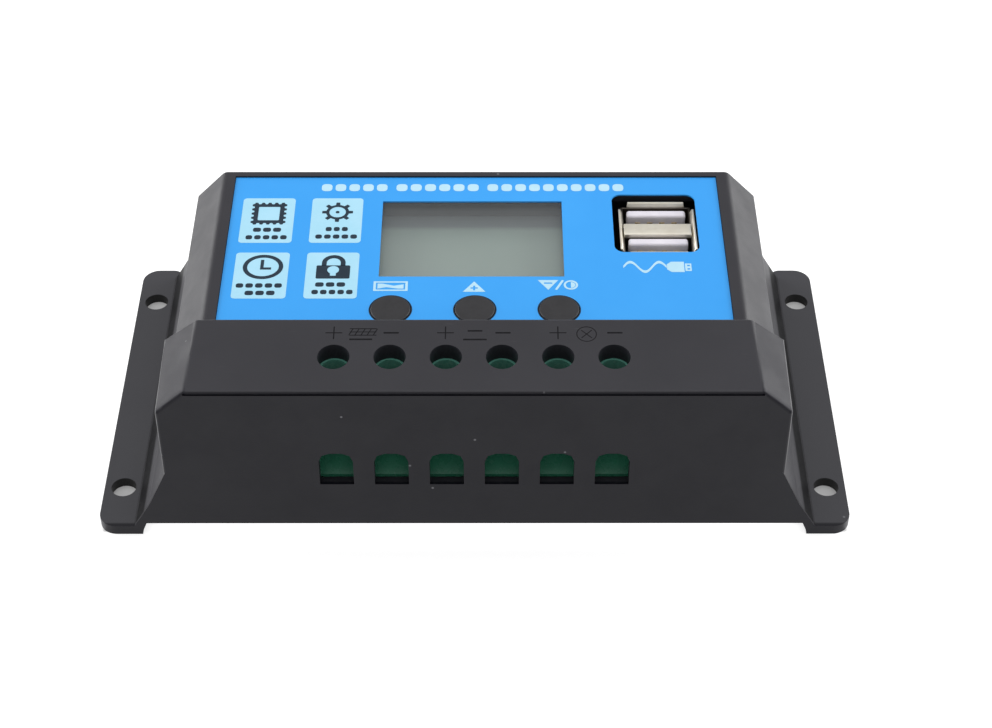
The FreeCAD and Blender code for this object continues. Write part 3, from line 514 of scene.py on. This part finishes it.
def lathe_mesh(profile, x, y, count=64):
    """A closed profile of (radius, height) turned about an upright axis; it starts and ends on it."""
    bm = bmesh.new()
    rings = []
    for radius, height in profile:
        if radius < 1e-6:
            rings.append([bm.verts.new((x * MM, y * MM, height * MM))])
            continue
        rings.append([bm.verts.new((px * MM, py * MM, height * MM))
                      for px, py in circle_loop(x, y, radius, count)])
    for first, second in zip(rings, rings[1:]):
        for i in range(count):
            j = (i + 1) % count
            corners = [first[i % len(first)], first[j % len(first)],
                       second[j % len(second)], second[i % len(second)]]
            distinct = list(dict.fromkeys(corners))
            if len(distinct) > 2:
                bm.faces.new(distinct)
    bmesh.ops.recalc_face_normals(bm, faces=bm.faces)
    return smooth(mesh_of(bm, "turned"))


def box_mesh(low, high, edge, segments=2):
    """A box between two corners with rounded edges."""
    bm = bmesh.new()
    bmesh.ops.create_cube(bm, size=1.0)
    low, high = Vector(low) * MM, Vector(high) * MM
    for vert in bm.verts:
        vert.co = Vector(((low[k] + high[k]) / 2 + vert.co[k] * (high[k] - low[k])
                          for k in range(3)))
    bmesh.ops.bevel(bm, geom=bm.edges[:], offset=edge * MM, segments=segments, profile=0.5,
                    affect="EDGES")
    return smooth(mesh_of(bm, "box"))


def slab_mesh(bottom, top, edge):
    """A six-sided slab from four lower and four upper corners, with rounded edges."""
    bm = bmesh.new()
    verts = [bm.verts.new(Vector(p) * MM) for p in list(bottom) + list(top)]
    sides = [(0, 1, 2, 3), (4, 5, 6, 7), (0, 1, 5, 4), (1, 2, 6, 5), (2, 3, 7, 6), (3, 0, 4, 7)]
    for side in sides:
        bm.faces.new([verts[i] for i in side])
    bmesh.ops.recalc_face_normals(bm, faces=bm.faces)
    bmesh.ops.bevel(bm, geom=bm.edges[:], offset=edge * MM, segments=2, profile=0.5, affect="EDGES")
    return smooth(mesh_of(bm, "slab"))


# ---------------------------------------------------------------- label tiles

INK = 0.02
FIRST_INK = low_high("front_label")[1].z
SECOND_INK = FIRST_INK + INK
TILE_CORNER = 0.7
LEFT_TILES_X, LEFT_TILES_WIDE = -38.9, 9.85
RIGHT_TILES_X, RIGHT_TILES_WIDE = -26.0, 9.6
UPPER_TILES_Y, UPPER_TILES_DEEP = 18.0, 13.2
LOWER_TILES_Y, LOWER_TILES_DEEP = 2.15, 12.85
UPPER_ICONS_Y, LOWER_ICONS_Y = 20.0, 4.5
CAPTION_HIGH = 1.2


def chip_icon(x, y):
    """A square frame with short pins all round it."""
    half, reach, pins, pitch = 2.8, 3.25, 5, 1.25
    root_half, tip_half, window = 0.42, 0.22, 4.0
    side = []
    for k in range(pins):
        along = (k - (pins - 1) / 2) * pitch
        side += [(along - root_half, half), (along - tip_half, reach),
                 (along + tip_half, reach), (along + root_half, half)]
    outline = []
    for quarter in range(4):
        cos = round(math.cos(quarter * math.pi / 2))
        sin = round(math.sin(quarter * math.pi / 2))
        outline += [(x + cos * px + sin * py, y - sin * px + cos * py) for px, py in side]
    return [outline, rectangle_loop(x, y, window, window, 0.2, 3)]


def gear_icon(x, y):
    """A cog with eight teeth, a ring and a middle dot."""
    teeth, root, tip, bore, dot = 8, 2.15, 2.9, 1.55, 0.36
    tooth = ((-0.30, root), (-0.19, root), (-0.12, tip), (0.12, tip), (0.19, root), (0.30, root))
    outline = []
    for k in range(teeth):
        middle = 2 * math.pi * k / teeth
        for angle, radius in tooth:
            outline.append((x + radius * math.cos(middle + angle),
                            y + radius * math.sin(middle + angle)))
    return [outline, circle_loop(x, y, bore), circle_loop(x, y, dot, 20)]


def clock_icon(x, y):
    """A dial, a little wider than high, with two hands at right angles."""
    wide, high, stroke, hand = 3.68, 3.42, 0.8, 0.6
    corner_x, corner_y = x - 0.5, y - 0.75
    top, right = y + 2.0, x + 1.5
    hands = [(corner_x, top), (corner_x, corner_y), (right, corner_y),
             (right, corner_y + hand), (corner_x + hand, corner_y + hand), (corner_x + hand, top)]
    dial = [[(x + px * (wide - inset), y + py * (high - inset))
             for px, py in circle_loop(0, 0, 1, 56)] for inset in (0, stroke)]
    return dial + [hands]


def padlock_icon(x, y):
    """Outlines of the body with its keyhole, the bow and its legs; y is the top of the body."""
    wide, high = 6.15, 3.7
    hole_y, hole, slot_half, slot_foot = y - 1.25, 1.08, 0.52, y - 2.9
    open_from, open_to = -0.33 * math.pi, 1.33 * math.pi
    keyhole = circle_loop(x, hole_y, hole, 24, open_from, open_to)
    keyhole += [(x - slot_half, slot_foot), (x + slot_half, slot_foot)]
    body = rectangle_loop(x, y - high / 2, wide, high, 0.3)
    bow, stroke, leg, overlap = 1.72, 0.88, 0.75, 0.1
    shackle = bow_loop(x, y + leg, bow, stroke, 0, math.pi)
    legs = [rectangle_loop(x + sign * bow, y + (leg - overlap) / 2, stroke, leg + overlap)
            for sign in (-1, 1)]
    return [body, keyhole], [shackle], legs


def print_tiles():
    """Four pale tiles, each with a pictogram over two rows of dashes."""
    left, right = LEFT_TILES_X, RIGHT_TILES_X
    columns = ((left, LEFT_TILES_WIDE), (right, RIGHT_TILES_WIDE))
    rows = ((UPPER_TILES_Y, UPPER_TILES_DEEP), (LOWER_TILES_Y, LOWER_TILES_DEEP))
    tiles = [rectangle_loop(x, y, wide, deep, TILE_CORNER) for x, wide in columns for y, deep in rows]
    add_piece("label_tiles", flat_mesh(tiles, FIRST_INK, INK), "pale_ink")

    lock_body, lock_bow, lock_legs = padlock_icon(right + 0.18, LOWER_ICONS_Y + 0.42)
    groups = (chip_icon(left + 0.15, UPPER_ICONS_Y), gear_icon(right + 0.1, UPPER_ICONS_Y + 0.42),
              clock_icon(left + 0.25, LOWER_ICONS_Y), lock_body, lock_bow, lock_legs)
    icons = joined([flat_mesh(loops, SECOND_INK, INK) for loops in groups], "label_icons")
    add_piece("label_icons", icons, "dark_ink")

    captions = []
    for x, y, wide, count in ((left + 0.15, 15.2, 5.2, 3), (left + 0.15, 13.0, 7.6, 5),
                              (right + 0.2, 15.4, 4.1, 3), (right + 0.2, 13.2, 7.7, 5),
                              (left - 0.1, -0.7, 8.3, 5), (left + 0.2, -2.75, 5.4, 3),
                              (right - 0.15, -0.43, 5.4, 3), (right + 0.3, -2.5, 7.4, 5)):
        captions += dashes(x, y, wide, count, CAPTION_HIGH)
    add_piece("label_captions", flat_mesh(captions, SECOND_INK, INK), "dark_ink")


# ---------------------------------------------------------------- other printing

def print_title():
    """Three runs of dashes across the head of the label, in place of its title."""
    middle, high, gap = 27.88, 2.15, 0.6
    loops = []
    for left, right, count in ((-29.3, -16.8, 5), (-15.1, 0.55, 6), (2.2, 28.05, 10)):
        loops += dashes((left + right) / 2, middle, right - left, count, high, gap)
    add_piece("label_title", flat_mesh(loops, FIRST_INK, INK), "white_ink")


def menu_sign(x, y):
    """A frame with a bent band in it."""
    half_wide, half_high = 2.35, 0.69
    band = [(x - half_wide, y - half_high), (x - half_wide, y + half_high), (x - 1.5, y + half_high),
            (x + 0.6, y + 0.1), (x + half_wide, y + 0.5), (x + half_wide, y - half_high),
            (x + 1.3, y - half_high), (x - 0.8, y - 0.3)]
    return [rectangle_loop(x, y, 6.2, 2.65), rectangle_loop(x, y, 5.3, 1.9), band]


def contrast_sign(x, y):
    """A ring with its right half filled."""
    outer, inner, core = 1.3, 0.92, 0.8
    return [circle_loop(x, y, outer, 32), circle_loop(x, y, inner, 32),
            circle_loop(x, y, core, 20, -math.pi / 2, math.pi / 2)]


def plug_signs(y):
    """The grip of a plug, its metal tip with two windows, and its cable in waves."""
    rear, neck, front, half_rear, half_grip = 34.95, 35.75, 38.1, 0.7, 1.45
    grip = [(rear, y - half_rear), (neck, y - half_grip), (front, y - half_grip),
            (front, y + half_grip), (neck, y + half_grip), (rear, y + half_rear)]
    tip_y = y - 0.1
    tip = [rectangle_loop(38.85, tip_y, 1.15, 2.1)]
    tip += [rectangle_loop(38.9, tip_y + side * 0.48, 0.5, 0.4) for side in (1, -1)]
    left, right, steps, waves, sway, half_cable = 27.0, 34.9, 54, 1.5, 1.35, 0.36
    cable = []
    for side in (1, -1):
        edge = [(left + (right - left) * i / steps,
                 y + sway * math.sin(2 * math.pi * waves * i / steps) + side * half_cable)
                for i in range(steps + 1)]
        cable += edge if side > 0 else edge[::-1]
    return [grip], tip, [cable]


def print_legends():
    """Signs over the buttons and beside the socket."""
    menu_x, menu_y = -15.23, -0.86
    up_x, up_y = -0.15, -1.0
    down_x, down_y = 13.2, -0.55
    fine = 0.36
    up = [triangle_loop(up_x, up_y, 4.1, 2.85), cross_loop(up_x, up_y - 0.4, 1.3, fine)]
    down = [triangle_loop(down_x, down_y, 3.7, -2.7), rectangle_loop(down_x, down_y + 0.5, 1.5, fine)]
    slash = [bar_loop((down_x + 1.4, down_y - 1.3), (down_x + 2.7, down_y + 1.3), 0.42)]
    signs = [menu_sign(menu_x, menu_y), up, down, slash, contrast_sign(down_x + 4.1, down_y),
             *plug_signs(4.5)]
    legends = joined([flat_mesh(loops, FIRST_INK, INK) for loops in signs], "label_legends")
    add_piece("label_legends", legends, "white_ink")


def paint_button_gap_shade():
    """A dark ring on the label round each button, painted shade of the gap round the cap."""
    inner, outer = 3.70, 3.88
    gap_shade_rings = []
    for number in BUTTONS:
        x, y = middle_of(f"button_cap_{number}")
        gap_shade_rings += [circle_loop(x, y, outer, 56), circle_loop(x, y, inner, 56)]
    add_piece("label_gap_shade", flat_mesh(gap_shade_rings, FIRST_INK, INK), "dark_ink")


# ---------------------------------------------------------------- hood symbols

HOOD_SLOPE = 0.1
RIDGE_Y, RIDGE_TOP = -17.6, 35.8
MARK_Y = -21.05
MARK_STROKE, MARK_FINE = 0.34, 0.15


def polarity_marks():
    """A plus and a minus over each pair of terminals."""
    size, fine, corner = 2.9, 0.2, 0.08
    marks = []
    for plus_x, minus_x in ((-24.0, -14.2), (-4.9, 4.95), (14.35, 24.1)):
        marks += [[cross_loop(plus_x, MARK_Y, size, fine)],
                  [rectangle_loop(minus_x, MARK_Y, size * 0.9, MARK_STROKE, corner, 3)]]
    return marks


def panel_marks(x, y):
    """A solar panel drawn as a leaning grid over a short line."""
    half, lean, uprights = 2.3, 0.35, 5
    low, middle, high, foot = y - 0.55, y + 0.2, y + 0.95, y - 1.5
    marks = []
    for k in range(uprights):
        upright = x + (k - 2) * half / 2.2
        marks.append([bar_loop((upright - lean, low), (upright + lean, high), MARK_FINE)])
    for level in (low, middle, high):
        marks.append([bar_loop((x - half, level), (x + half, level), MARK_FINE)])
    marks.append([bar_loop((x - half, foot), (x + 1.6, foot), MARK_STROKE)])
    return marks


def battery_marks(x, y):
    """A short plate over a long one."""
    return [[bar_loop((x - half, level), (x + half, level), MARK_STROKE)]
            for half, level in ((1.25, y + 0.45), (2.0, y - 1.55))]


def lamp_marks(x, y):
    """A ring with a cross in it."""
    ring, arm = 1.75, 0.9
    marks = [[circle_loop(x, y, ring, 32), circle_loop(x, y, ring - MARK_FINE, 32)]]
    for sign in (-1, 1):
        marks.append([bar_loop((x - arm, y - arm * sign), (x + arm, y + arm * sign), MARK_FINE)])
    return marks


def press_hood_marks():
    """Polarity signs and a picture for each pair, sunk in the sloping top of the hood and filled with
    black as painted shade.
    """
    above, depth = 0.012, 0.25
    groups = (polarity_marks() + panel_marks(-19.0, MARK_Y) + battery_marks(0.15, MARK_Y)
              + lamp_marks(19.25, MARK_Y - 0.3))
    mesh = joined([flat_mesh(loops, -depth, depth + above) for loops in groups], "hood_marks")
    mesh.transform(Matrix.Translation(Vector((0, RIDGE_Y, RIDGE_TOP)) * MM)
                   @ Matrix.Rotation(math.atan(HOOD_SLOPE), 4, "X")
                   @ Matrix.Translation(Vector((0, -RIDGE_Y, 0)) * MM))
    add_piece("hood_marks", mesh, "mark_black")


# ---------------------------------------------------------------- buttons

def turn_caps():
    """Caps with a soft rim, turned in one profile with their collar and socket."""
    radius, rim, rim_steps = 3.58, 0.22, 5
    skirt, bore, roof, collar_low, collar_top = 2.6, 1.75, 3.9, 4.1, 5.2
    crown, dish = 0.01, 0.02
    for number in BUTTONS:
        node = f"button_cap_{number}"
        low, high = low_high(node)
        collar = (high.x - low.x) / 2
        profile = [(0, high.z), (radius * 0.6, high.z - crown)]
        for k in range(rim_steps + 1):
            angle = math.pi / 2 * (1 - k / rim_steps)
            profile.append((radius - rim + rim * math.cos(angle),
                            high.z - rim - dish + rim * math.sin(angle)))
        profile += [(radius, low.z + collar_top), (collar, low.z + collar_top),
                    (collar, low.z + collar_low), (skirt, low.z + collar_low), (skirt, low.z),
                    (bore, low.z), (bore, low.z + roof), (0, low.z + roof)]
        cap = add_piece(f"cap_{number}", lathe_mesh(profile, *middle_of(node)), "cap_plastic",
                        f"button_{number}")
        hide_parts(node)


# ---------------------------------------------------------------- charging socket

SHELL_HALF_WIDE, SHELL_HALF_DEEP, SHEET = 6.6, 7.1, 0.4


def shell_walls(x, y, low, top):
    """Four walls of sheet round the socket."""
    edge, tuck = 0.08, 0.2
    walls = []
    for sign in (-1, 1):
        face = x + sign * SHELL_HALF_WIDE
        walls.append(box_mesh((face - SHEET * (sign > 0), y - SHELL_HALF_DEEP, low),
                              (face + SHEET * (sign < 0), y + SHELL_HALF_DEEP, top), edge))
        face = y + sign * SHELL_HALF_DEEP
        walls.append(box_mesh((x - SHELL_HALF_WIDE + tuck, face - SHEET * (sign > 0), low),
                              (x + SHELL_HALF_WIDE - tuck, face + SHEET * (sign < 0), top), edge))
    return walls


def flared_lips(x, y, neck, top):
    """Lips that lean outwards from the walls, each a little narrower at its free edge."""
    edge, side_flare, end_flare = 0.09, 0.55, 0.45
    end_half, end_half_top = 5.5, 5.3
    front, front_top, rear, rear_top = y - 6.7, y - 6.5, y + 5.6, y + 5.3
    lips = []
    for sign in (-1, 1):
        inner, outer = x + sign * (SHELL_HALF_WIDE - SHEET), x + sign * SHELL_HALF_WIDE
        reach = sign * side_flare
        lips.append(slab_mesh([(inner, front, neck), (outer, front, neck),
                               (outer, rear, neck), (inner, rear, neck)],
                              [(inner + reach, front_top, top), (outer + reach, front_top, top),
                               (outer + reach, rear_top, top), (inner + reach, rear_top, top)],
                              edge))
        inner, outer = y + sign * (SHELL_HALF_DEEP - SHEET), y + sign * SHELL_HALF_DEEP
        reach = sign * end_flare
        left, right = x - end_half, x + end_half
        left_top, right_top = x - end_half_top, x + end_half_top
        lips.append(slab_mesh([(left, inner, neck), (right, inner, neck),
                               (right, outer, neck), (left, outer, neck)],
                              [(left_top, inner + reach, top), (right_top, inner + reach, top),
                               (right_top, outer + reach, top), (left_top, outer + reach, top)],
                              edge))
    return lips


def build_socket_shell():
    """Folded sheet round two stacked receptacles, with a divider and flared lips."""
    low, high = low_high("usb_shell")
    x, y = middle_of("usb_shell")
    neck = high.z - 1.3
    half_divider, front, rear, foot, overlap = 6.3, y - 2.2, y + 1.05, low.z + 0.4, 0.3
    divider = box_mesh((x - half_divider, front, foot), (x + half_divider, rear, high.z - 0.02),
                       edge=0.2, segments=3)
    walls = shell_walls(x, y, low.z, neck + overlap) + [divider] + flared_lips(x, y, neck, high.z)
    shell = add_piece("socket_shell", joined(walls, "socket_shell"), "socket_steel")
    smooth(shell.data)
    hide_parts("usb_shell")


def build_socket_core():
    """A block and a rounded tongue for each receptacle."""
    low, high = low_high("usb_insulator")
    x, y = middle_of("usb_shell")
    port, block_half_wide, block_half_deep, block_high = 4.15, 6.1, 2.5, 4
    tongue_half, tongue_front, tongue_rear, tongue_root = 5.55, 0.4, 1.5, 3.8
    cores = []
    for sign in (-1, 1):
        middle = y + sign * port
        cores.append(box_mesh((x - block_half_wide, middle - block_half_deep, low.z),
                              (x + block_half_wide, middle + block_half_deep, low.z + block_high),
                              edge=0.15))
        cores.append(box_mesh((x - tongue_half, middle - tongue_front, low.z + tongue_root),
                              (x + tongue_half, middle + tongue_rear, high.z),
                              edge=0.5, segments=4))
    core = add_piece("socket_core", joined(cores, "socket_core"), "white_plastic")
    smooth(core.data)
    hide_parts("usb_insulator")


# ---------------------------------------------------------------- stage

def add_camera():
    """In front of the object and above it, in millimetres and degrees."""
    place = Vector((3.08, -290.62, 277.47))
    pitch_down, turn, roll, lens = 42.76, -0.144, 0.083, 76.80
    camera = bpy.data.cameras.new("camera")
    camera.lens = lens
    camera.sensor_width = 36.0
    camera.clip_start = 0.01
    holder = bpy.data.objects.new("camera", camera)
    bpy.context.scene.collection.objects.link(holder)
    holder.matrix_world = (Matrix.Translation(place * MM)
                           @ Matrix.Rotation(math.radians(turn), 4, "Z")
                           @ Matrix.Rotation(math.radians(90 - pitch_down), 4, "X")
                           @ Matrix.Rotation(math.radians(roll), 4, "Z"))
    bpy.context.scene.camera = holder


def soft_box(name, place, target, wide, high, power):
    """A rectangular light aimed at a target, in metres and watts."""
    light = bpy.data.lights.new(name, "AREA")
    light.shape = "RECTANGLE"
    light.size = wide
    light.size_y = high
    light.energy = power
    holder = bpy.data.objects.new(name, light)
    bpy.context.scene.collection.objects.link(holder)
    holder.location = place
    aim = Vector(target) - Vector(place)
    holder.rotation_euler = aim.to_track_quat("-Z", "Y").to_euler()


def add_lights():
    """A soft box on each side, one overhead, and an even white surround."""
    aim, side, behind, up = (0, 0, 0.02), 0.9, 0.35, 0.35
    soft_box("left_box", (-side, behind, up), aim, wide=0.9, high=0.6, power=8.6)
    soft_box("right_box", (side, behind, up), aim, wide=0.9, high=0.6, power=8.4)
    soft_box("top_box", (0.0, 0.1, 1.3), (0, 0, 0), wide=1.0, high=1.0, power=4.2)
    world = bpy.data.worlds.new("studio")
    world.use_nodes = True
    background = world.node_tree.nodes["Background"]
    background.inputs["Color"].default_value = (1.0, 1.0, 1.0, 1.0)
    background.inputs["Strength"].default_value = 0.62
    bpy.context.scene.world = world


def add_floor():
    """Pale paper that glows, with more glow as painted light under and before the body, hiding its
    shadow, and less glow as painted shadow under the flanges.
    """
    reach, whole = 4.0, -9  # the body's span starts below zero, so its middle is wholly inside
    mesh = bpy.data.meshes.new("floor")
    mesh.from_pydata([(-reach, -reach, 0), (reach, -reach, 0), (reach, reach, 0), (-reach, reach, 0)],
                     [], [(0, 1, 2, 3)])
    floor = bpy.data.objects.new("floor", mesh)
    bpy.context.scene.collection.objects.link(floor)
    paper = Surface("paper", (0.52, 0.52, 0.52), (0.50, 0.50, 0.50), gloss=(0.75, 0.85), mottle=3,
                    grain=400, height=0.00005, Emission_Color=(1.0, 1.0, 1.0, 1.0))
    flanges = paper.inside(soft=1.0, x=(59.5, 66.2), y=(-34.5, 34.5))
    body = paper.inside(soft=8.0, x=(whole, 58), y=(-37, 30))
    # Painted light under and before the body; painted shadow under the flanges.
    elsewhere, painted_light_under_body, painted_shadow_flange_share = 0.70, 1.05, 0.17
    glow = paper.maths("MULTIPLY", ramp(paper.tree, flanges, 0, 1, 1, painted_shadow_flange_share),
                       ramp(paper.tree, body, 0, 1, elsewhere, painted_light_under_body))
    paper.tree.links.new(glow, paper.shader.inputs["Emission Strength"])
    mesh.materials.append(paper.material)


paint_nodes()
print_tiles()
print_title()
print_legends()
# Painted shade round the buttons.
paint_button_gap_shade()
press_hood_marks()
turn_caps()
build_socket_shell()
build_socket_core()
add_floor()
add_lights()
add_camera()
bpy.context.scene.view_settings.view_transform = "Standard"
